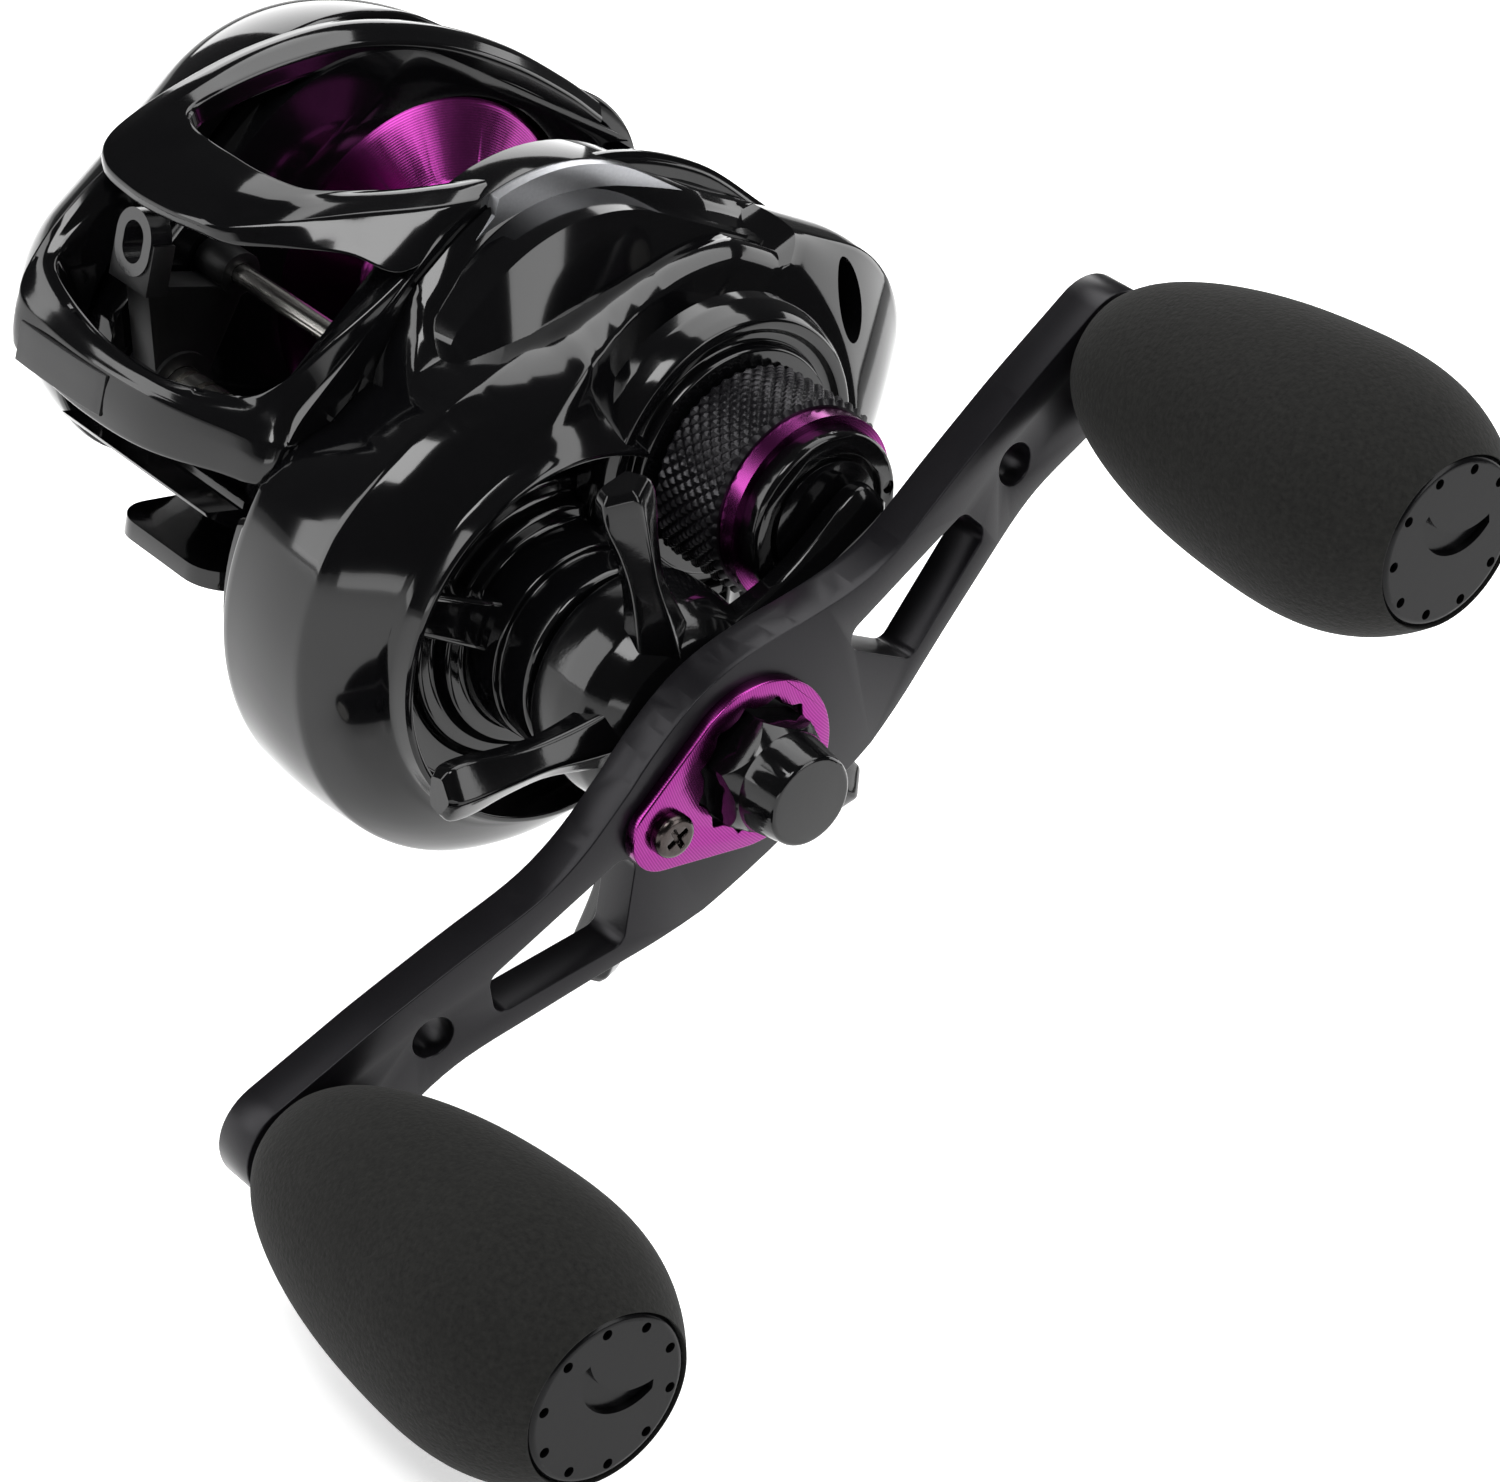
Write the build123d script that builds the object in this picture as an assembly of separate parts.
from build123d import *
import math
import os

# Low-profile baitcasting reel, left-hand retrieve, built as separate pieces.
# Millimetres. +X runs along the spool axis towards the handle, -Y is the front
# where the line leaves, +Z is up. The origin is on the underside of the reel
# foot, straight below the spool axis, at the middle of the spool's width.

# ---- driving dimensions ----------------------------------------------------
spool_radius = 16.0
spool_inner_width = 23.0
spool_flange = 1.3
spool_axis_height = 20.6
gear_module = 0.5
drive_teeth = 72
pinion_teeth = 10
drive_direction = 226.9  # degrees in the Y-Z plane, from the spool axis to the drive axis
winder_drive_teeth = 52
worm_teeth = 14
worm_direction = 153.0  # degrees, from the drive axis to the worm axis
carriage_half = 2.1  # half the width of the line guide
wall_x = 15.0  # outer face of each frame side wall
wall_thickness = 4.2
cover_wall = 1.8
foot_length = 60.0
foot_width = 15.0
foot_front = -33.0
handle_spacing = 95.0  # between the two knob axes
handle_angle = 42.0  # degrees in the Y-Z plane at rest
handle_thickness = 4.0
handle_hub_x = 56.0  # outer face of the handle at its centre
handle_slope = 0.1  # how fast the arms fall back towards the reel
grip_length = 38.2
grip_radius = 11.9
star_radius = 24.5
star_arms = 5
shaft_radius = 2.0
spool_shaft_radius = 1.5

# ---- clearances --------------------------------------------------------------
running = 0.04  # radial, shaft in a bearing or bush
gap = 0.4  # between pieces that pass each other
mesh_gap = 0.05  # radial, so that meshing teeth never touch
past = 1.0  # how far a cut runs past what it cuts, or a boss runs into its base

# ---- derived places ----------------------------------------------------------
wall_inner = wall_x - wall_thickness
guide_offset = carriage_half + gap - wall_inner  # where the line guide rests along X
spool_centre = (0.0, spool_axis_height)
gear_centres = gear_module * (drive_teeth + pinion_teeth) / 2


def polar(centre, distance, degrees):
    """Point (y, z) at a distance and direction from another point."""
    turn = math.radians(degrees)
    return (centre[0] + distance * math.cos(turn), centre[1] + distance * math.sin(turn))


drive_centre = polar(spool_centre, gear_centres, drive_direction)
worm_centres = gear_module * (winder_drive_teeth + worm_teeth) / 2
worm_centre = polar(drive_centre, worm_centres, worm_direction)
rod_centre = (-24.6, 23.3)
ring_bore = spool_radius + 0.35
ring_radius = ring_bore + 2.4
flange_outer = spool_inner_width / 2 + spool_flange
drive_gear_radius = gear_module * drive_teeth / 2 - mesh_gap
pinion_radius = gear_module * pinion_teeth / 2 - mesh_gap

# ---- stations along X on the gear side ----------------------------------------
set_plate_x = (wall_x, wall_x + 1.2)
cam_x = (wall_x + 1.4, wall_x + 3.2)
winder_gear_x = (wall_x + 1.6, wall_x + 3.0)
ratchet_x = (wall_x + 3.2, wall_x + 4.0)
drive_gear_x = (wall_x + 4.2, wall_x + 8.6)
drag_seat_x = wall_x + 5.4
pressure_plate_x = (wall_x + 8.1, wall_x + 9.3)
pinion_teeth_x = (wall_x + 2.2, wall_x + 8.8)
pinion_neck_x = (wall_x + 9.5, wall_x + 10.9)
pinion_end_x = wall_x + 12.0
yoke_x = (wall_x + 9.7, wall_x + 10.7)
yoke_travel = 1.2
cover_shoulder_x = wall_x + 11.0
cover_rim_x = wall_x + 18.0
pocket_floor_x = wall_x + 12.5
drum_ceiling_x = wall_x + 10.6
boss_end_x = wall_x + 23.3
knob_boss_x = wall_x + 16.0
knob_thread_x = wall_x + 22.0
sleeve_x = (pressure_plate_x[1] + 0.1, boss_end_x + 0.9)
star_x = (boss_end_x + 1.1, handle_hub_x - handle_thickness - 2.0)
star_arm_x = (45.3, 49.0)
shaft_end_x = handle_hub_x + 5.0
tension_x = (knob_thread_x - 3.6, 44.8)

plate_cut_x = (set_plate_x[0] - past, set_plate_x[1] + past)
wall_cut_x = (-wall_x - past, wall_x + past)
screw_inner_x = wall_x - 2.6
screw_seat_x = wall_x + 6.0
screw_slot_x = wall_x + 6.7
screw_top_x = wall_x + 7.4
screw_boss_x = wall_x + 7.5
gear_wall_step_x = wall_x - 2.6  # the gear wall grows to the cover's outline here

# ---- outlines of the body, as circles (y, z, radius) ----------------------------
top_circle = (-8.0, 24.0, ring_radius + 0.75)
rear_circle = (spool_radius - 0.5, 23.3, spool_radius - 4.0)
drum_radius = drive_gear_radius + cover_wall + 3.65
drum_circle = (*drive_centre, drum_radius)
palm_front_circle = (-24.0, 14.5, 12.0)
palm_bottom_circle = (0.0, spool_axis_height, ring_radius + 0.1)
gear_outline = (top_circle, rear_circle, drum_circle)
ridge_outline = ((*spool_centre, spool_radius + 5.5), drum_circle)
palm_outline = (top_circle, rear_circle, palm_front_circle, palm_bottom_circle)
hood_thickness = 2.0
shoulder_chamfer = (8.0, 9.0)  # along X, and inwards
rim_chamfer = (7.0, 6.0)
ridge_x = (wall_x + 5.0, wall_x + 16.0)  # raised part between the knob and the gear drum
ridge_chamfer = (9.0, 5.0)
palm_depth = 15.0
pocket_radius = drum_radius - rim_chamfer[1] - 0.5
drive_boss_radius = 9.2
knob_boss_radius = 12.5
collar_radius = 10.6  # step of the cover round the tension knob


def on_x(x):
    """Sketch plane across X: its local axes are +Y and +Z."""
    return Plane.YZ.offset(x)


def rod(x0, x1, radius, centre):
    """Cylinder along X."""
    return extrude(on_x(x0) * Pos(*centre) * Circle(radius), x1 - x0)


def tube(x0, x1, outer, inner, centre):
    """Cylinder along X with a bore."""
    return extrude(on_x(x0) * Pos(*centre) * (Circle(outer) - Circle(inner)), x1 - x0)


def block(x0, x1, y0, y1, z0, z1):
    """Box between two corners."""
    middle = ((x0 + x1) / 2, (y0 + y1) / 2, (z0 + z1) / 2)
    return Pos(*middle) * Box(x1 - x0, y1 - y0, z1 - z0)


def prism(x0, x1, points):
    """Polygon in Y-Z drawn out along X."""
    return extrude(on_x(x0) * make_face(Polyline(*points, close=True)), x1 - x0)


def outline(circles, inset=0.0):
    """Taut outline round some circles, drawn in by an inset."""
    rings = [Edge.make_circle(r - inset, Plane((y, z, 0))) for y, z, r in circles]
    return make_hull(rings)


def slab(x0, x1, circles, inset=0.0):
    """Taut outline drawn out along X."""
    return extrude(on_x(x0) * outline(circles, inset), x1 - x0)


def bevelled(body, x, sizes):
    """Chamfers the outer edges of the end face at x: sizes are along X and inwards."""
    face = body.faces().filter_by(Axis.X).group_by(SortBy.AREA)[-1].sort_by(
        lambda f: abs(f.center().X - x))[0]
    return chamfer(face.edges(), sizes[1], sizes[0], reference=face)


def gear_disc(x0, x1, teeth, tip, bore, centre):
    """Spur gear with trapezoid teeth, tip radius given so that mating teeth stay apart."""
    root = tip - 1.1 * gear_module
    step = 360.0 / teeth
    points = []
    for i in range(teeth):
        for share, radius in ((-0.30, root), (-0.14, tip), (0.14, tip), (0.30, root)):
            points.append(polar((0, 0), radius, (i + share) * step))
    profile = make_face(Polyline(*points, close=True)) - Circle(bore)
    return extrude(on_x(x0) * Pos(*centre) * profile, x1 - x0)


# ---- frame -----------------------------------------------------------------------
nose_z = (11.0, 17.5)
nose_y = -40.4
nose_corner_y = -35.8
foot_tip_thickness = 1.6
foot_root_thickness = 3.2
thumb_bar_y = (17.8, 28.0)
thumb_bar_z = (28.5, 31.3)
thumb_travel = 4.5
thumb_slot_y = (18.6, 22.0)
drive_bearing_radius = 3.6
drive_bearing_x = (wall_x - 2.8, wall_x - 0.4)
screw_shank = 0.8
screw_head = 1.5
screw_boss = 1.9
screw_head_room = 0.1
screw_socket = 0.64
nose_back_y = -31.0
nose_inner_y = -33.6
nose_ramp = (0.5, 0.35)  # where the nose's flat front ends, as shares of its half width
chin_profile = ((-38.8, 0.5), (-37.2, -1.8), (-20.0, -9.6), (-14.0, -9.6), (-17.0, -7.4),
                (-35.0, -0.2), (-35.0, 0.5))  # z from the underside of the nose
cradle_overlap = 0.15
cradle_drop = 0.6
cradle_half = 17.0
cradle_top = 10.0
foot_step = 10.0
foot_corner = 3.5
thumb_ear_drop = 2.6
screw_places = (polar(spool_centre, spool_radius + 2.93, 40.9),
                polar(spool_centre, spool_radius + 3.19, -33.5),
                polar(drive_centre, drum_radius - screw_boss - 0.3, 222))


def frame_walls():
    """Both side walls, with the spool's bores through them."""
    inner = (top_circle, rear_circle, palm_front_circle, palm_bottom_circle)
    gear_wall = slab(wall_inner, wall_x, inner, hood_thickness)
    gear_wall += slab(gear_wall_step_x, wall_x, gear_outline, hood_thickness)
    palm_wall = slab(-wall_x, -wall_inner, inner, hood_thickness)
    walls = gear_wall + palm_wall
    return walls - rod(*wall_cut_x, ring_bore, spool_centre)


def frame_nose():
    """Bar across the front, below the line window, swept back at its ends."""
    half = wall_x
    plan = make_face(Polyline(
        (-half, nose_back_y), (-half, nose_corner_y), (-half * nose_ramp[0], nose_y),
        (half * nose_ramp[1], nose_y), (half, nose_corner_y), (half, nose_back_y),
        (wall_inner, nose_inner_y), (-wall_inner, nose_inner_y), close=True))
    bar = extrude(Plane.XY.offset(nose_z[0]) * plan, nose_z[1] - nose_z[0])
    chin = prism(-wall_inner, wall_inner, [(y, nose_z[0] + z) for y, z in chin_profile])
    return bar + chin


def frame_cradle():
    """Curved floor under the spool, joining the walls and the foot."""
    band = tube(-wall_inner, wall_inner, ring_radius - cradle_drop, ring_bore - cradle_overlap,
                spool_centre)
    return band & block(-wall_inner, wall_inner, -cradle_half, cradle_half, 0, cradle_top)


def frame_foot():
    """Foot that a rod's reel seat clamps, thin at its ends."""
    rear = foot_front + foot_length
    side = prism(-foot_width / 2, foot_width / 2, (
        (foot_front, 0), (rear, 0), (rear, foot_tip_thickness), (foot_step, foot_root_thickness),
        (-foot_step, foot_root_thickness), (foot_front, foot_tip_thickness)))
    plan = Pos(0, (foot_front + rear) / 2) * RectangleRounded(foot_width, foot_length, foot_corner)
    return side & extrude(plan, foot_root_thickness + past)


def frame():
    """Frame in one piece: walls, nose, cradle and foot, with the seats it carries."""
    body = frame_walls() + frame_nose() + frame_cradle() + frame_foot()
    body -= rod(drive_bearing_x[0], wall_x + past, drive_bearing_radius, drive_centre)
    body -= rod(*wall_cut_x, worm_bush_radius, worm_centre)
    body -= rod(*wall_cut_x, guide_rod_radius, rod_centre)
    slot_z = (thumb_bar_z[0] - thumb_travel - thumb_ear_drop - gap, thumb_bar_z[1] + gap)
    body -= block(*wall_cut_x, thumb_slot_y[0] - gap, thumb_slot_y[1] + gap, *slot_z)
    for place in screw_places:
        body -= rod(screw_inner_x - gap, wall_x + past, screw_shank, place)
    return body - badge_pocket()


badge_half = 6.5
badge_depth = 0.8


def badge_block(inset):
    """Space that the blank badge fills on the nose's front face."""
    front = (nose_y, nose_y + badge_depth)
    return block(-badge_half + inset - 1.5, badge_half - inset - 1.5, *front,
                 nose_z[0] + 1.0 + inset, nose_z[1] - 1.0 - inset)


def badge_pocket():
    return badge_block(0.0)


def nose_badge():
    return badge_block(0.1)


# ---- hood, covers ------------------------------------------------------------------
hood_profile = ((-36.2, 30.2), (-33.6, 33.6), (-27.0, 37.8), (-19.0, 41.4), (-12.0, 42.6),
                (-12.0, 39.6), (-19.0, 38.4), (-25.5, 35.6), (-29.5, 32.4), (-34.6, 29.8))
hood_opening_front = -24.5


def hood():
    """Top cover: two arms over the walls joined by a visor above the line window."""
    arms = slab(-wall_x, wall_x, palm_outline) - slab(-wall_x, wall_x, palm_outline, hood_thickness)
    arms &= block(-wall_x, wall_x, -30.0, 17.0, 29.0, 50.0)
    visor = prism(-wall_x, wall_x, hood_profile) & extrude(make_face(Polyline(
        (-wall_x, 0), (-wall_x, -33.5), (-wall_x * 0.6, -36.2), (wall_x * 0.2, -36.2),
        (wall_x, -31.0), (wall_x, 0), close=True)), 60)
    visor -= slab(-wall_x, wall_x, palm_outline, hood_thickness)
    opening = block(-wall_inner, wall_inner, hood_opening_front, 20.0, 20.0, 60.0)
    return arms + visor - opening


# the frame shows in front of this stepped edge of the gear cover
cover_notch = ((-23.6, 23.2), (-28.9, 20.0), (-33.6, 17.6), (-37.0, 15.5), (-60.0, 15.5),
               (-60.0, 60.0), (-19.0, 60.0), (-19.4, 37.8), (-24.6, 30.9))
cover_tube_bore = 4.3
drum_ledge = 1.0
spoke_middle = 168.0  # degrees round the drive axis
spoke_half_angles = (17.0, 6.0)  # at the boss and at the pocket's wall
spoke_drop = 1.5
clutch_bearing_radius = 6.5
clutch_bearing_x = (wall_x + 15.0, wall_x + 21.0)
spool_end_bearing_radius = 4.0
spool_end_bearing_x = (wall_x + 17.6, wall_x + 20.2)
knob_thread_radius = 6.3


def gear_side_cover():
    """Cover of the gear side: shoulder, gear drum with its pocket, and the knob boss."""
    shoulder = bevelled(slab(wall_x, cover_shoulder_x, gear_outline), cover_shoulder_x,
                        shoulder_chamfer)
    drum = bevelled(rod(wall_x, cover_rim_x, drum_radius, drive_centre), cover_rim_x, rim_chamfer)
    pocket = rod(pocket_floor_x, cover_rim_x + past, pocket_radius, drive_centre)
    ridge = bevelled(slab(*ridge_x, ridge_outline), ridge_x[1], ridge_chamfer)
    body = shoulder + drum + ridge - pocket
    body += rod(wall_x, knob_boss_x, knob_boss_radius, spool_centre)
    body += rod(knob_boss_x - past, tension_x[0] - gap, collar_radius, spool_centre)
    body += rod(knob_boss_x - past, knob_thread_x, knob_thread_radius, spool_centre)
    body += rod(pocket_floor_x - past, boss_end_x, drive_boss_radius, drive_centre)
    body += pocket_spoke()
    cavity = rod(wall_x - past, drum_ceiling_x, drum_radius - cover_wall - drum_ledge, drive_centre)
    cavity += slab(wall_x - past, screw_seat_x, gear_outline, cover_wall)
    cavity += rod(wall_x, knob_boss_x - cover_wall, knob_boss_radius - cover_wall, spool_centre)
    body -= cavity - prism(wall_x - past, cover_rim_x, cover_notch_inner())
    body -= rod(wall_x, boss_end_x + past, cover_tube_bore, drive_centre)
    body -= rod(*clutch_bearing_x, clutch_bearing_radius, drive_centre)
    body -= rod(wall_x, knob_thread_x + past, spool_end_bearing_radius, spool_centre)
    body -= prism(wall_x - past, cover_rim_x, cover_notch)
    for place in screw_places:
        body += rod(wall_x, screw_boss_x, screw_boss, place)
        body -= rod(wall_x - past, screw_boss_x + past, screw_shank, place)
        body -= rod(screw_seat_x, cover_rim_x + past, screw_head + screw_head_room, place)
    return body


def pocket_spoke():
    """Flared web across the pocket at the front."""
    wide, narrow = spoke_half_angles
    near, far = drive_boss_radius - past, pocket_radius + past
    corners = ((near, -wide), (far, -narrow), (far, narrow), (near, wide))
    points = [polar(drive_centre, r, spoke_middle + turn) for r, turn in corners]
    return prism(pocket_floor_x - past, cover_rim_x - spoke_drop, points)


dial_radius = 7.5
dial_x = (-wall_x - palm_depth - 1.2, -wall_x - palm_depth + 1.6)
palm_bearing_radius = 4.0
palm_bearing_x = (-wall_x - 9.6, -wall_x - 7.0)
palm_boss_end = -wall_x - 6.8
palm_chamfer = (9.0, 8.0)
palm_inner_x = -wall_x - 6.2
palm_boss_wall = 1.4


def palm_side_cover():
    """Cover of the palm side, a shell that holds the spool's far bearing."""
    outer_x = -wall_x - palm_depth
    body = bevelled(slab(outer_x, -wall_x, palm_outline), outer_x, palm_chamfer)
    cavity = slab(outer_x + cover_wall, -wall_x, palm_outline, cover_wall + palm_chamfer[1])
    cavity += slab(palm_inner_x, -wall_x, palm_outline, cover_wall)
    body -= cavity
    body += rod(outer_x + 0.5, palm_boss_end, palm_bearing_radius + palm_boss_wall, spool_centre)
    body -= rod(*palm_bearing_x, palm_bearing_radius, spool_centre)
    body -= rod(palm_bearing_x[0] - 2.0, palm_boss_end, spool_shaft_radius + 1.0, spool_centre)
    body -= rod(outer_x - past, dial_x[1] + 0.1, dial_radius + 0.3, spool_centre)
    return body


def cover_screws():
    """Three screws that hold the gear cover to the frame."""
    screws = []
    for place in screw_places:
        head = rod(screw_seat_x, screw_top_x, screw_head, place)
        head -= rod(screw_slot_x, screw_top_x + past, screw_socket, place)
        screws.append(head + rod(screw_inner_x, screw_seat_x, screw_shank, place))
    return screws


def set_plate():
    """Plate behind the gears that carries the pinion bearing and the yoke posts."""
    plate = slab(*set_plate_x, gear_outline, cover_wall + 0.3)
    plate -= rod(*plate_cut_x, pinion_bearing_radius, spool_centre)
    plate -= rod(*plate_cut_x, shaft_collar_radius + 0.4, drive_centre)
    plate -= rod(*plate_cut_x, worm_bush_radius, worm_centre)
    plate -= block(*plate_cut_x, thumb_slot_y[0] - gap, thumb_slot_y[1] + gap,
                   thumb_bar_z[0] - thumb_travel - thumb_ear_drop - gap, thumb_bar_z[1] + gap)
    plate -= prism(*plate_cut_x, cover_notch_inner())
    for place in screw_places:
        plate -= rod(*plate_cut_x, screw_boss + 0.1, place)
    for place in post_places:
        plate -= rod(*plate_cut_x, post_radius, place)
    return plate


def cover_notch_inner():
    """The cover's stepped edge moved back by the cover's wall."""
    return [(y + cover_wall + 0.3, z - 0.6) for y, z in cover_notch]


# ---- spool -----------------------------------------------------------------------
hub_radius = 8.6
hub_wall = 1.2
flange_lip = 0.9
spool_boss_half = 8.0
spool_web_half = 1.2
spool_boss_radius = 3.6
pinion_bearing_radius = 4.0
pinion_bearing_x = (wall_x - 0.2, wall_x + 2.0)


def spool():
    """Line spool: two dished flanges, a hollow arbor and a web to the shaft boss."""
    half = spool_inner_width / 2
    half_profile = [
        (0, hub_radius), (half - 3.4, hub_radius), (half - 2.6, hub_radius + 0.7),
        (half - 0.4, spool_radius - flange_lip), (half, spool_radius), (flange_outer, spool_radius),
        (flange_outer, spool_radius - 1.2), (flange_outer - 0.9, spool_radius - 2.2),
        (flange_outer - 2.2, hub_radius + 0.4), (flange_outer - 2.2, hub_radius - hub_wall),
        (spool_web_half, hub_radius - hub_wall), (spool_web_half, spool_boss_radius),
        (spool_boss_half, spool_boss_radius), (spool_boss_half, spool_shaft_radius),
        (0, spool_shaft_radius)]
    face = make_face(Plane.XZ * Polyline(*half_profile, close=True))
    right = revolve(face, Axis.X)
    left = mirror(right, Plane.YZ)
    return Pos(0, *spool_centre) * (right + left)


def spool_shaft():
    """Shaft through the spool, the pinion and the tension knob's pad."""
    return rod(palm_bearing_x[0] - 0.6, knob_thread_x + 2.4, spool_shaft_radius, spool_centre)


def ball_bearing(x_range, outer, inner, centre):
    """Shielded ball bearing as its outer ring, shields and inner ring."""
    bearing = tube(*x_range, outer, inner, centre)
    middle = (outer + inner) / 2
    for x0, x1 in ((x_range[0], x_range[0] + 0.2), (x_range[1] - 0.2, x_range[1])):
        bearing -= tube(x0, x1, middle + 0.45, middle - 0.45, centre)
    return bearing


magnet_travel = 2.0
carrier_plate_x = (-wall_x - 6.2, -wall_x - 5.0)
magnet_x = (-wall_x - 5.0, -wall_x - 1.2)
rotor_x = (magnet_x[0] + magnet_travel + 0.8, -8.0)
rotor_radius = hub_radius - hub_wall
rotor_wall = 0.7
magnet_ring_radius = 12.4
magnet_count = 6
magnet_wedge = (20.0, 14.0)  # reach, and half angle in degrees
magnet_inner_radius = rotor_radius + 1.0


def brake_rotor():
    """Thin cup seated in the hollow arbor, with its far end inside the magnets."""
    return tube(*rotor_x, rotor_radius, rotor_radius - rotor_wall, spool_centre)


def magnet_carrier():
    """Carrier plate that slides towards the spool when the brake dial turns."""
    plate = tube(*carrier_plate_x, magnet_ring_radius, 5.9, spool_centre)
    return plate + tube(*magnet_x, magnet_ring_radius, magnet_ring_radius - 0.6, spool_centre)


def brake_magnets():
    """Six block magnets seated inside the carrier's rim."""
    magnets = []
    for i in range(magnet_count):
        sector = tube(*magnet_x, magnet_ring_radius - 0.6, magnet_inner_radius, spool_centre)
        turn = i * 360 / magnet_count
        wedge = [spool_centre, polar(spool_centre, magnet_wedge[0], turn - magnet_wedge[1]),
                 polar(spool_centre, magnet_wedge[0], turn + magnet_wedge[1])]
        magnets.append(sector & prism(*magnet_x, wedge))
    return magnets


def brake_dial():
    """Outer dial of the magnetic brake, with a knurled edge and a finger bar."""
    step = 360 / 36
    points = [polar(spool_centre, dial_radius - (0.25 if i % 2 else 0), i * step / 2) for i in range(72)]
    dial = prism(*dial_x, points)
    dial -= tube(dial_x[0] - 1, dial_x[0] + 0.8, dial_radius - 1.2, dial_radius - 3.0, spool_centre)
    return dial


# ---- gear train ---------------------------------------------------------------------
neck_radius = 2.2
pinion_flange_radius = 3.2
post_radius = 0.9
post_end_x = yoke_x[1] + yoke_travel + 1.7
yoke_ear_radius = 1.9
post_places = [polar(spool_centre, 8.5, drive_direction - 180 + turn) for turn in (-75, 75)]
shaft_collar_radius = 3.2
worm_bush_radius = 2.6
guide_rod_radius = 1.0
worm_radius = 1.9


def pinion_gear():
    """Pinion on the spool shaft, with a grooved neck for the yoke."""
    body = gear_disc(*pinion_teeth_x, pinion_teeth, pinion_radius, 0.5, spool_centre)
    body += rod(pinion_teeth_x[1], pinion_end_x, pinion_flange_radius, spool_centre)
    body -= tube(*pinion_neck_x, pinion_flange_radius + 1, neck_radius, spool_centre)
    return body - rod(pinion_teeth_x[0] - 1, pinion_end_x + 1, spool_shaft_radius + running, spool_centre)


def clutch_yoke():
    """Fork that shifts the pinion along the spool shaft."""
    rings = [(*spool_centre, 5.4)] + [(*place, yoke_ear_radius) for place in post_places]
    plate = slab(*yoke_x, rings)
    plate -= rod(*yoke_x, neck_radius + 0.08, spool_centre)
    for place in post_places:
        plate -= rod(*yoke_x, post_radius + running, place)
    mouth = [polar(spool_centre, neck_radius + 0.08, drive_direction + turn) for turn in (90, -90)]
    far = [polar(point, 8.0, drive_direction) for point in reversed(mouth)]
    return plate - prism(*yoke_x, mouth + far)


def yoke_posts():
    """Two posts that guide the yoke."""
    return [rod(wall_x, post_end_x, post_radius, place) for place in post_places]


def clutch_cam():
    """Ramp ring round the pinion bearing, turned by the thumb bar."""
    ring = tube(*cam_x, 7.0, pinion_bearing_radius + 0.5, spool_centre)
    arm = [polar(spool_centre, 6.0, -12), polar(spool_centre, 17.0, 12), polar(spool_centre, 18.5, 17),
           polar(spool_centre, 17.0, 22), polar(spool_centre, 6.0, 50)]
    lever = prism(*cam_x, arm) - rod(*cam_x, 6.5, spool_centre)
    return ring + lever


def drive_shaft():
    """Main shaft from the frame bearing to the handle nut."""
    shaft = rod(drive_bearing_x[0], shaft_end_x, shaft_radius, drive_centre)
    return shaft + rod(wall_x + 0.3, wall_x + 1.5, shaft_collar_radius, drive_centre)


def winder_drive_gear():
    return gear_disc(*winder_gear_x, winder_drive_teeth,
                     gear_module * winder_drive_teeth / 2 - mesh_gap, shaft_radius, drive_centre)


def ratchet():
    """Twelve-tooth stop wheel behind the drive gear."""
    points = []
    for i in range(12):
        points.append(polar(drive_centre, 6.4, i * 30))
        points.append(polar(drive_centre, 8.0, i * 30 + 20))
    return prism(*ratchet_x, points) - rod(*ratchet_x, shaft_radius, drive_centre)


def drive_gear():
    """Main gear, hollowed to hold the drag stack."""
    body = gear_disc(*drive_gear_x, drive_teeth, drive_gear_radius, shaft_radius, drive_centre)
    return body - rod(drag_seat_x, drive_gear_x[1] + 1, drag_radius, drive_centre)


drag_radius = 14.0


def drag_washers():
    """Three drag discs stacked inside the main gear."""
    thickness = (pressure_plate_x[0] - drag_seat_x) / 3
    return [tube(drag_seat_x + i * thickness, drag_seat_x + (i + 1) * thickness - 0.05,
                 drag_radius - 0.4 - 0.5 * (i % 2), shaft_radius, drive_centre) for i in range(3)]


def pressure_plate():
    return tube(*pressure_plate_x, drag_radius - 0.4, shaft_radius, drive_centre)


def drive_sleeve():
    """Hardened sleeve that the one-way bearing grips."""
    return tube(*sleeve_x, cover_tube_bore - 0.3, shaft_radius, drive_centre)


def one_way_bearing():
    """Roller clutch in the cover's boss, with a six-sided roller cage."""
    inner = cover_tube_bore - 0.3 + running
    body = tube(*clutch_bearing_x, clutch_bearing_radius, inner, drive_centre)
    for i in range(6):
        place = polar(drive_centre, inner + 1.1, i * 60)
        body -= rod(clutch_bearing_x[0] - 1, clutch_bearing_x[0] + 0.8, 0.55, place)
        body -= rod(clutch_bearing_x[1] - 0.8, clutch_bearing_x[1] + 1, 0.55, place)
    return body


spring_washer_x = (sleeve_x[1] + 0.05, sleeve_x[1] + 1.6)
star_recess_radius = 5.2


def spring_washers():
    """Pair of dished drag springs under the star."""
    x0, x1 = spring_washer_x
    middle = (x0 + x1) / 2
    rim = star_recess_radius - 0.5
    inner = shaft_radius + 0.1
    half = [(x0, inner), (x0 + 0.35, inner), (middle, rim - 0.4), (middle, rim), (middle - 0.3, rim)]
    washers = []
    for points in (half, [(2 * middle - x, r) for x, r in half]):
        face = make_face(Plane.XZ * Polyline(*points, close=True))
        washers.append(Pos(0, *drive_centre) * revolve(face, Axis.X))
    return washers


# ---- star drag --------------------------------------------------------------------
star_dome_radius = 9.9
star_first_angle = 46.8


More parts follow.
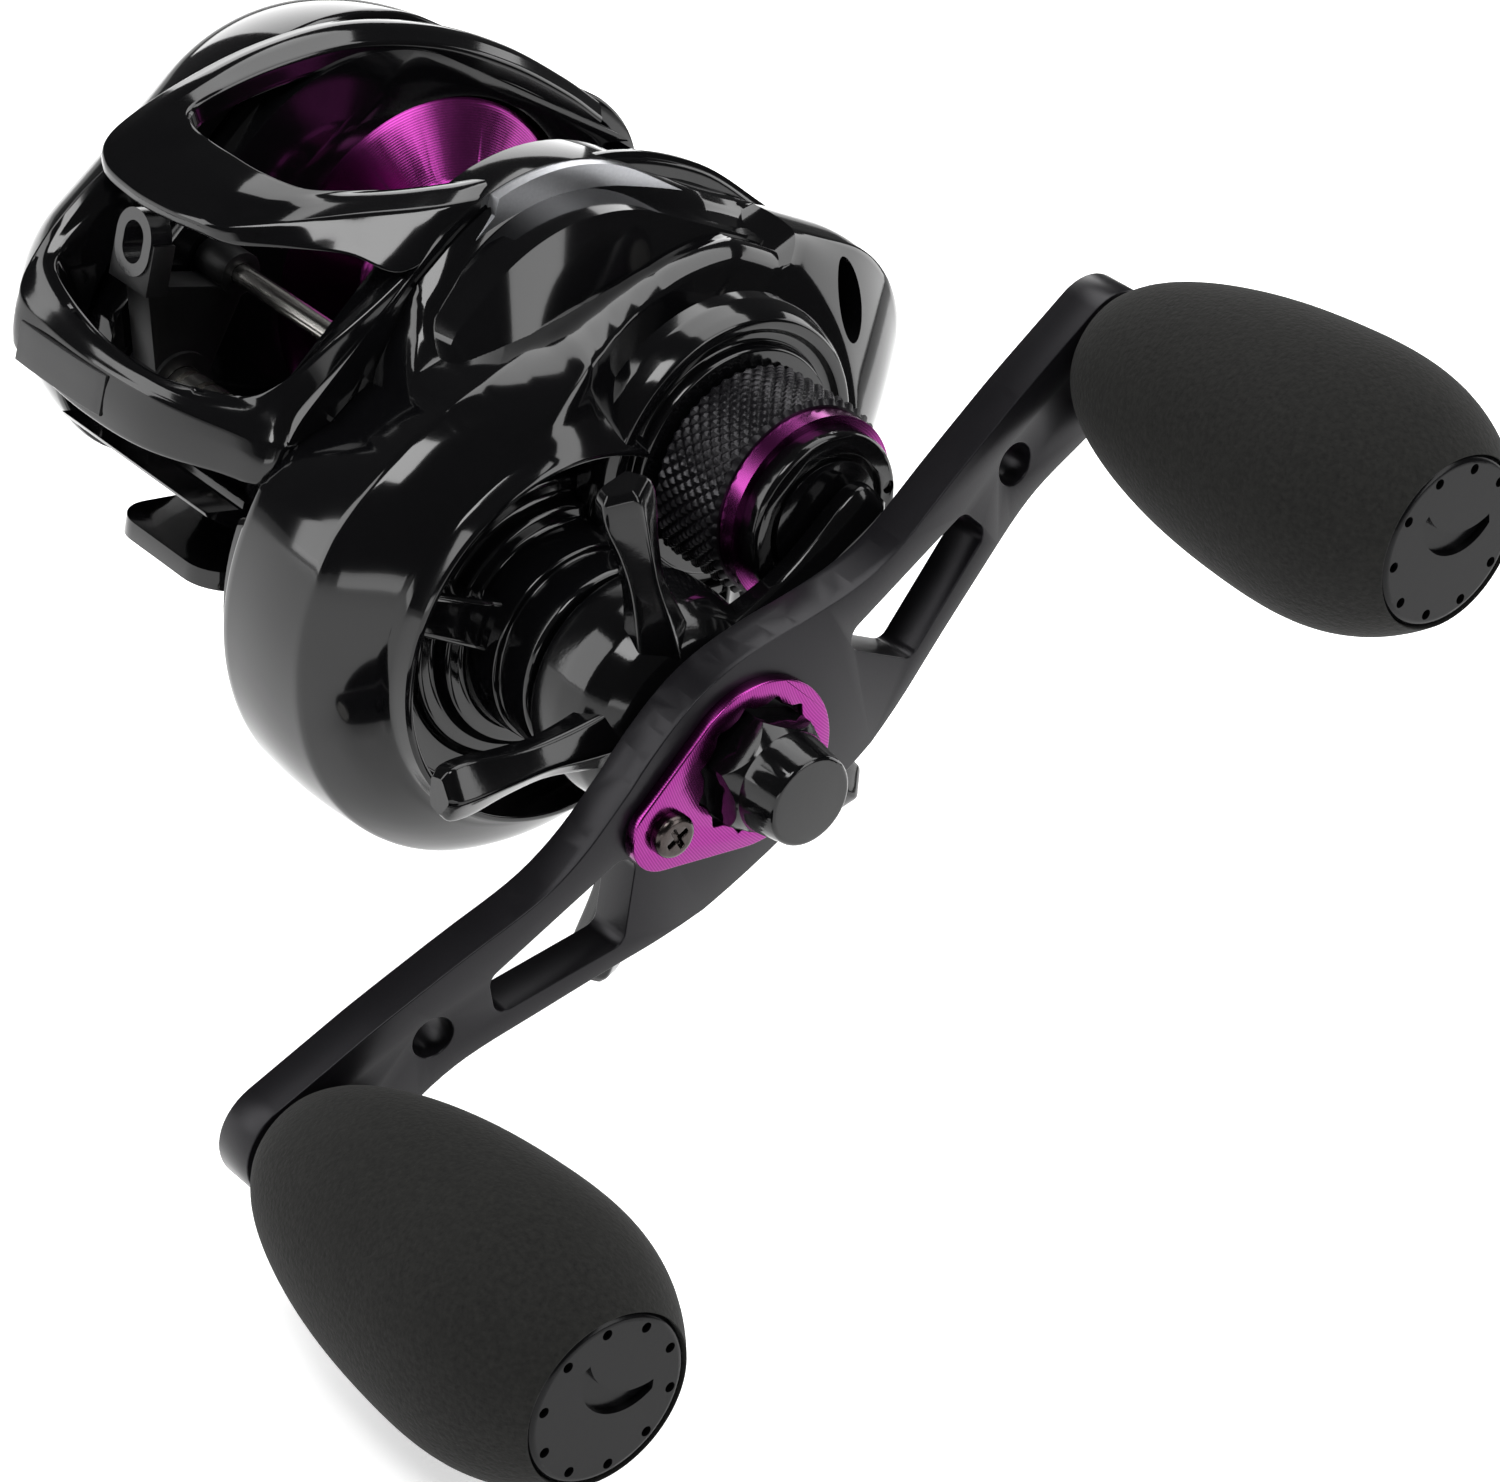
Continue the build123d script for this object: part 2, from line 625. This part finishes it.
def star_arm(degrees):
    """One arm, narrow at the hub and broad near its tip, with a ridged outer face."""
    widths = ((6.0, 3.4), (14.0, 2.3), (19.5, 3.5), (star_radius - 2.0, 3.3), (star_radius, 1.7))
    upper = [(r, w) for r, w in widths]
    lower = [(r, -w) for r, w in reversed(widths)]
    flat = Plane(origin=(0, *drive_centre), x_dir=(0, math.cos(math.radians(degrees)),
                 math.sin(math.radians(degrees))), z_dir=(1, 0, 0))
    low, high = star_arm_x
    arm = extrude(flat.offset(low) * make_face(Polyline(*upper, *lower, close=True)), high - low)
    return chamfer(arm.faces().sort_by(Axis.X)[-1].edges(), 1.1)


def star_drag():
    """Five-armed drag wheel with a domed hub."""
    x0, x1 = star_x
    body = rod(x0, x1, star_dome_radius, drive_centre)
    body = fillet(body.faces().sort_by(Axis.X)[-1].edges(), 3.0)
    for i in range(star_arms):
        body += star_arm(star_first_angle + i * 360 / star_arms)
    body -= rod(x0 - past, spring_washer_x[1] + 0.1, star_recess_radius, drive_centre)
    return body - rod(x0 - past, x1 + past, shaft_radius + running, drive_centre)


# ---- handle -----------------------------------------------------------------------
half_spacing = handle_spacing / 2
arm_end_radius = 5.2
knob_post_radius = 2.0
upper_edge = ((0.0, 9.5), (5.0, 8.8), (9.5, 7.4), (14.5, 5.4), (20.0, 4.2), (26.0, 4.5), (34.0, 5.0))
lower_edge = ((0.0, -10.2), (9.0, -9.7), (15.0, -8.7), (20.0, -7.4), (26.0, -6.0), (33.0, -4.5))
slot_corners = ((11.6, 1.8), (27.8, 0.9), (29.0, -3.0), (17.0, -6.3))
hole_share = 0.718  # of the half spacing
hole_radius = 1.9
retainer_thickness = 1.2
retainer_screw_place = (-9.4, 1.8)
nut_hex_radius = 5.4


def handle_plane(x):
    """Sketch plane of the handle: local x runs along the arms."""
    turn = math.radians(handle_angle)
    return Plane(origin=(x, *drive_centre), x_dir=(0, math.cos(turn), math.sin(turn)), z_dir=(1, 0, 0))


def handle_face(distance):
    """X of the handle's outer face at a distance from its centre."""
    return handle_hub_x - handle_slope * max(0.0, distance - 10.0)


def handle_half_outline():
    """Outline of one arm, from the centre line out to the rounded end."""
    stretch = half_spacing / 47.5
    top = [(u * stretch, v) for u, v in upper_edge]
    bottom = [(u * stretch, v) for u, v in lower_edge]
    end_top = (half_spacing, arm_end_radius)
    end_bottom = (half_spacing, -arm_end_radius)
    edge_a = Spline(*top, end_top, tangents=((1, 0), (1, 0)))
    arc = ThreePointArc(end_top, (half_spacing + arm_end_radius, 0), end_bottom)
    edge_b = Spline(*bottom, end_bottom, tangents=((1, 0), (1, 0)))
    back = Line(bottom[0], top[0])
    return make_face([edge_a, arc, edge_b, back])


def handle_arm():
    """Crank handle: a bowed plate with a tapered slot and a hole in each arm."""
    stretch = half_spacing / 47.5
    half = handle_half_outline()
    slot = make_face(Polyline(*[(u * stretch, v) for u, v in slot_corners], close=True))
    slot = fillet(slot.vertices(), 1.3)
    half -= slot
    half -= Pos(half_spacing * hole_share, 0) * Circle(hole_radius)
    half -= Pos(half_spacing, 0) * Circle(knob_post_radius)
    plan = half + mirror(half, Plane.YZ) - Circle(shaft_radius)
    reach = half_spacing + 8.0
    end_x = handle_face(reach)
    band = [(-reach, end_x), (-10.0, handle_hub_x), (10.0, handle_hub_x), (reach, end_x)]
    band += [(u, x - handle_thickness) for u, x in reversed(band)]
    turn = math.radians(handle_angle)
    side = Plane(origin=(0, *drive_centre), x_dir=(0, math.cos(turn), math.sin(turn)),
                 z_dir=(0, math.sin(turn), -math.cos(turn)))
    bow = extrude(side * make_face(Polyline(*band, close=True)), 20, both=True)
    blank = extrude(handle_plane(end_x - handle_thickness - 1) * plan, 20)
    arm = blank & bow
    return arm - handle_screw_hole()


def handle_screw_hole():
    hole = handle_plane(handle_hub_x - 3.0) * Pos(*retainer_screw_place) * Circle(0.9)
    return extrude(hole, 10)


def handle_spacer():
    """Washer between the star and the handle."""
    return tube(star_x[1] + gap, handle_hub_x - handle_thickness, 5.0, shaft_radius, drive_centre)


def handle_nut():
    """Handle nut: a hexagon that turns into a tapered round cap."""
    hexagon = extrude(handle_plane(handle_hub_x) * Rot(0, 0, 12) * RegularPolygon(nut_hex_radius, 6), 4.4)
    cap = extrude(handle_plane(handle_hub_x + 4.4) * Circle(4.62), 3.6, taper=10)
    cap = fillet(cap.faces().sort_by(Axis.X)[-1].edges(), 0.4)
    cone = revolve(Plane.XZ * make_face(Polyline(
        (0, 0), (0, nut_hex_radius + 0.1), (2.6, nut_hex_radius + 0.1), (4.4, 4.55), (4.4, 0),
        close=True)), Axis.X)
    hexagon &= Pos(handle_hub_x, *drive_centre) * cone
    return hexagon + cap - rod(handle_hub_x - 1, shaft_end_x, shaft_radius, drive_centre)


def nut_retainer():
    """Plate with a toothed hole that keys the nut, held by one screw."""
    rings = [(0, 0, 7.7), (*retainer_screw_place, 3.6)]
    plate = make_hull([Edge.make_circle(r, Plane((u, v, 0))) for u, v, r in rings])
    points = []
    for i in range(12):
        points.append(polar((0, 0), nut_hex_radius + 0.15, i * 30 - 6))
        points.append(polar((0, 0), nut_hex_radius + 0.15, i * 30 + 6))
        points.append(polar((0, 0), nut_hex_radius + 0.75, i * 30 + 15))
    plate -= make_face(Polyline(*points, close=True))
    plate -= Pos(*retainer_screw_place) * Circle(0.9)
    return extrude(handle_plane(handle_hub_x) * plate, retainer_thickness)


def retainer_screw():
    """Pan head screw with a cross recess."""
    top = handle_hub_x + retainer_thickness
    place = Pos(*retainer_screw_place)
    head = extrude(handle_plane(top) * place * Circle(1.95), 1.2)
    head = fillet(head.faces().sort_by(Axis.X)[-1].edges(), 0.6)
    cross = Rectangle(2.2, 0.5) + Rectangle(0.5, 2.2)
    head -= extrude(handle_plane(top + 0.6) * place * cross, 2)
    return head + extrude(handle_plane(handle_hub_x - 3.0) * place * Circle(0.9), 3.0 + retainer_thickness)


# ---- knobs ------------------------------------------------------------------------
grip_start_x = handle_face(half_spacing) + 0.9
grip_end_x = grip_start_x + grip_length
cap_radius = 7.5
cap_depth = 3.2
knob_bore = 3.6
knob_bearing_length = 2.0
# grip radius as a share of its largest, against its share of the length
grip_shape = ((0.0, 0.485), (0.05, 0.60), (0.13, 0.72), (0.25, 0.84), (0.40, 0.935), (0.55, 0.985),
              (0.66, 1.0), (0.78, 0.97), (0.88, 0.875), (0.955, 0.745), (1.0, 0.64))


def knob_centre(side):
    return polar(drive_centre, side * half_spacing, handle_angle)


def knob_post(side):
    """Post riveted through the arm that the knob turns on."""
    centre = knob_centre(side)
    face = handle_face(half_spacing)
    post = rod(face - handle_thickness - 0.6, grip_end_x - 6.0, knob_post_radius, centre)
    return post + rod(face - handle_thickness - 1.2, face - handle_thickness - 0.6, 3.0, centre)


def grip(side):
    """Foam grip turned to a tapered egg shape."""
    points = [(grip_start_x + s * grip_length, r * grip_radius) for s, r in grip_shape]
    edge = Spline(*points)
    start, end = points[0], points[-1]
    seat_x = grip_end_x - cap_depth
    seat_r = cap_radius + 0.05
    top = Polyline(end, (end[0], seat_r), (seat_x, seat_r), (seat_x, knob_bore), (start[0], knob_bore),
                   start)
    face = make_face([Plane.XZ * edge, *(Plane.XZ * top).edges()])
    return Pos(0, *knob_centre(side)) * revolve(face, Axis.X)


def knob_bearings(side):
    """Bush at each end of the knob."""
    centre = knob_centre(side)
    starts = (grip_start_x + 0.2, grip_end_x - cap_depth - knob_bearing_length - 4.0)
    return [tube(x, x + knob_bearing_length, knob_bore, knob_post_radius + running, centre) for x in starts]


def grip_cap(side):
    """Cap that closes the knob, with a ring of dimples and a finger slot."""
    centre = knob_centre(side)
    x0 = grip_end_x - cap_depth
    body = rod(x0, grip_end_x, cap_radius, centre)
    body = fillet(body.faces().sort_by(Axis.X)[-1].edges(), 0.7)
    phase = 86.4 if side > 0 else 68.9
    for i in range(10):
        body -= rod(grip_end_x - 0.6, grip_end_x + 1, 0.45, polar(centre, 6.3, phase + i * 36))
    slot = rod(grip_end_x - 0.7, grip_end_x + 1, 4.4, centre)
    slot &= rod(grip_end_x - 0.7, grip_end_x + 1, 4.4, polar(centre, 3.2, phase))
    slot -= rod(grip_end_x - 2, grip_end_x + 2, 5.2, polar(centre, 6.0, phase))
    return body - slot


# ---- tension knob --------------------------------------------------------------------
knurl_radius = 9.3
tension_ring_radius = 8.6
tension_cap_radius = 7.74
ring_depth = 1.7
cap_step = 1.9


def tension_knob():
    """Knurled ring of the cast control, screwed over the cover's threaded boss."""
    x0 = tension_x[0]
    x1 = tension_x[1] - cap_step - ring_depth
    teeth = 60
    points = [polar(spool_centre, knurl_radius - (0.3 if i % 2 else 0), i * 180 / teeth)
              for i in range(2 * teeth)]
    body = prism(x0, x1, points)
    body -= rod(x0 - past, knob_thread_x + 0.6, knob_thread_radius + running, spool_centre)
    return body - rod(x0, x1 + past, 5.0, spool_centre)


def tension_ring():
    x1 = tension_x[1] - cap_step
    return tube(x1 - ring_depth, x1, tension_ring_radius, 5.0, spool_centre)


def tension_cap():
    """End cap with a shallow central disc."""
    x1 = tension_x[1]
    x0 = x1 - cap_step
    body = rod(x0, x1, tension_cap_radius, spool_centre)
    body = fillet(body.faces().sort_by(Axis.X)[-1].edges(), 0.5)
    body -= tube(x1 - 0.5, x1 + past, 6.0, 5.3, spool_centre)
    body += rod(x0 - 1.6, x0, 4.9, spool_centre)
    return body - rod(x1 - 0.4, x1 + past, 0.6, polar(spool_centre, 6.9, 20))


def tension_pad():
    """Brass pad that presses on the end of the spool shaft."""
    x0 = knob_thread_x + 2.4 + 0.05
    return rod(x0, tension_x[1] - cap_step - 1.6, 2.4, spool_centre)


# ---- line guide -----------------------------------------------------------------------
guide_travel = -2 * guide_offset
guide_y = -34.0
guide_window_z = 26.1
eye_size = (6.0, 5.0)  # height and width of the line eye's insert
eye_wall = 1.1
groove_pitch = 2.5
groove_half = 0.35
groove_depth = 0.5
groove_count = round(guide_travel / groove_pitch) + 2


def worm_shaft():
    """Cross-cut shaft that carries the line guide, between its two bushes."""
    x0 = -wall_x + 0.4
    x1 = winder_gear_x[1]
    body = rod(x0, x1, worm_radius, worm_centre)
    for i in range(groove_count):
        x = (i - (groove_count - 1) / 2) * groove_pitch
        body -= tube(x - groove_half, x + groove_half, worm_radius + 1, worm_radius - groove_depth,
                     worm_centre)
    return body


def worm_gear():
    return gear_disc(*winder_gear_x, worm_teeth,
                     gear_module * worm_teeth / 2 - mesh_gap, worm_radius, worm_centre)


def worm_bushes():
    """Bushes that carry the worm shaft in the two walls."""
    bore = worm_radius + running
    return [tube(-wall_x, -wall_inner, worm_bush_radius, bore, worm_centre),
            tube(wall_inner, wall_x + 1.2, worm_bush_radius, bore, worm_centre)]


def guide_rod():
    return rod(-wall_x, wall_x, guide_rod_radius, rod_centre)


def line_guide():
    """Carriage on the worm shaft and the guide rod, with a stem up to the line eye."""
    x0 = guide_offset - carriage_half
    x1 = guide_offset + carriage_half
    body = rod(x0, x1, worm_radius + 1.3, worm_centre)
    body += rod(x0, x1, guide_rod_radius + 1.0, rod_centre)
    wy, wz = worm_centre
    ry, rz = rod_centre
    eye_base = guide_window_z - eye_size[0] / 2 - 0.6
    body += prism(x0 + 0.4, x1 - 0.4, (
        (wy - 2.4, wz), (wy + 2.6, wz), (ry + 1.4, rz), (ry - 0.4, rz - 1.2),
        (guide_y + 1.6, eye_base), (guide_y, eye_base)))
    half_eye = eye_size[1] / 2 + 0.3
    body += block(guide_offset - half_eye, guide_offset + half_eye, guide_y - 0.9, guide_y + 1.3,
                  eye_base - 0.4, guide_window_z + 0.6)
    body -= eye_opening(0.0)
    body -= rod(x0 - past, x1 + past, worm_radius + running + 0.02, worm_centre)
    body -= pawl_blank(0.05)
    return body - rod(x0 - past, x1 + past, guide_rod_radius + running, rod_centre)


def eye_opening(inset):
    """Upright rounded opening of the line eye, drawn in by an inset."""
    height, width = eye_size
    slot = SlotOverall(height - 2 * inset, width - 2 * inset, rotation=90)
    plane = Plane.XZ.offset(-guide_y + 4) * Pos(guide_offset, guide_window_z)
    return extrude(plane * slot, -8)


def guide_insert():
    """Hard insert that the line runs through."""
    ring = eye_opening(0.0) - eye_opening(eye_wall)
    return ring & block(-50, 50, guide_y - 1.1, guide_y + 1.1, 0, 60)


def pawl_blank(extra):
    """Round pawl that reaches up to the worm from below the carriage."""
    wy, wz = worm_centre
    top = wz - worm_radius - 0.12
    bottom = wz - worm_radius - 2.0
    return Pos(guide_offset, wy, (top + bottom) / 2) * Cylinder(1.5 + extra, top - bottom)


def guide_pawl():
    return pawl_blank(0.0)


# ---- thumb bar ------------------------------------------------------------------------
def thumb_bar():
    """Clutch bar behind the spool, with an ear through each wall."""
    half = wall_inner - gap
    y0, y1 = thumb_bar_y
    z0, z1 = thumb_bar_z
    bar = prism(-half, half, ((y0, z0), (y1, z0 - 2.6), (y1 + 0.8, z0 - 1.2), (y1 - 1.5, z1 - 1.4),
                              (y0 + 3.0, z1), (y0 + 0.6, z1 - 0.4)))
    ears = block(-wall_x + 0.6, wall_x + 0.6, *thumb_slot_y, z0 - thumb_ear_drop, z0 + 1.4)
    return bar + ears


# ---- build and write --------------------------------------------------------------------
def pieces():
    """Every piece of the reel by name."""
    made = {
        "frame": frame(),
        "nose_badge": nose_badge(),
        "hood": hood(),
        "gear_side_cover": gear_side_cover(),
        "palm_side_cover": palm_side_cover(),
        "cover_screws": cover_screws(),
        "set_plate": set_plate(),
        "yoke_posts": yoke_posts(),
        "spool": spool(),
        "spool_shaft": spool_shaft(),
        "brake_rotor": brake_rotor(),
        "magnet_carrier": magnet_carrier(),
        "brake_magnets": brake_magnets(),
        "brake_dial": brake_dial(),
        "palm_bearing": ball_bearing(palm_bearing_x, palm_bearing_radius,
                                     spool_shaft_radius + running, spool_centre),
        "pinion_bearing": ball_bearing(pinion_bearing_x, pinion_bearing_radius,
                                       spool_shaft_radius + running, spool_centre),
        "spool_end_bearing": ball_bearing(spool_end_bearing_x, spool_end_bearing_radius,
                                          spool_shaft_radius + running, spool_centre),
        "drive_bearing": ball_bearing(drive_bearing_x, drive_bearing_radius,
                                      shaft_radius + running, drive_centre),
        "one_way_bearing": one_way_bearing(),
        "pinion_gear": pinion_gear(),
        "clutch_yoke": clutch_yoke(),
        "clutch_cam": clutch_cam(),
        "thumb_bar": thumb_bar(),
        "drive_shaft": drive_shaft(),
        "winder_drive_gear": winder_drive_gear(),
        "ratchet": ratchet(),
        "drive_gear": drive_gear(),
        "drag_washers": drag_washers(),
        "pressure_plate": pressure_plate(),
        "drive_sleeve": drive_sleeve(),
        "spring_washers": spring_washers(),
        "star_drag": star_drag(),
        "handle_spacer": handle_spacer(),
        "handle_arm": handle_arm(),
        "handle_nut": handle_nut(),
        "nut_retainer": nut_retainer(),
        "retainer_screw": retainer_screw(),
        "tension_knob": tension_knob(),
        "tension_ring": tension_ring(),
        "tension_cap": tension_cap(),
        "tension_pad": tension_pad(),
        "worm_shaft": worm_shaft(),
        "worm_gear": worm_gear(),
        "worm_bushes": worm_bushes(),
        "guide_rod": guide_rod(),
        "line_guide": line_guide(),
        "guide_insert": guide_insert(),
        "guide_pawl": guide_pawl(),
    }
    for letter, side in (("a", 1), ("b", -1)):
        made["knob_post_" + letter] = knob_post(side)
        made["grip_" + letter] = grip(side)
        made["knob_bushes_" + letter] = knob_bearings(side)
        made["grip_cap_" + letter] = grip_cap(side)
    return made


os.makedirs("parts", exist_ok=True)
for name, piece in pieces().items():
    solids = piece if isinstance(piece, list) else [piece]
    whole = Compound(children=[s for made in solids for s in made.solids()])
    print(name, len(whole.solids()), round(whole.volume, 1))
    export_step(whole, os.path.join("parts", name + ".step"))
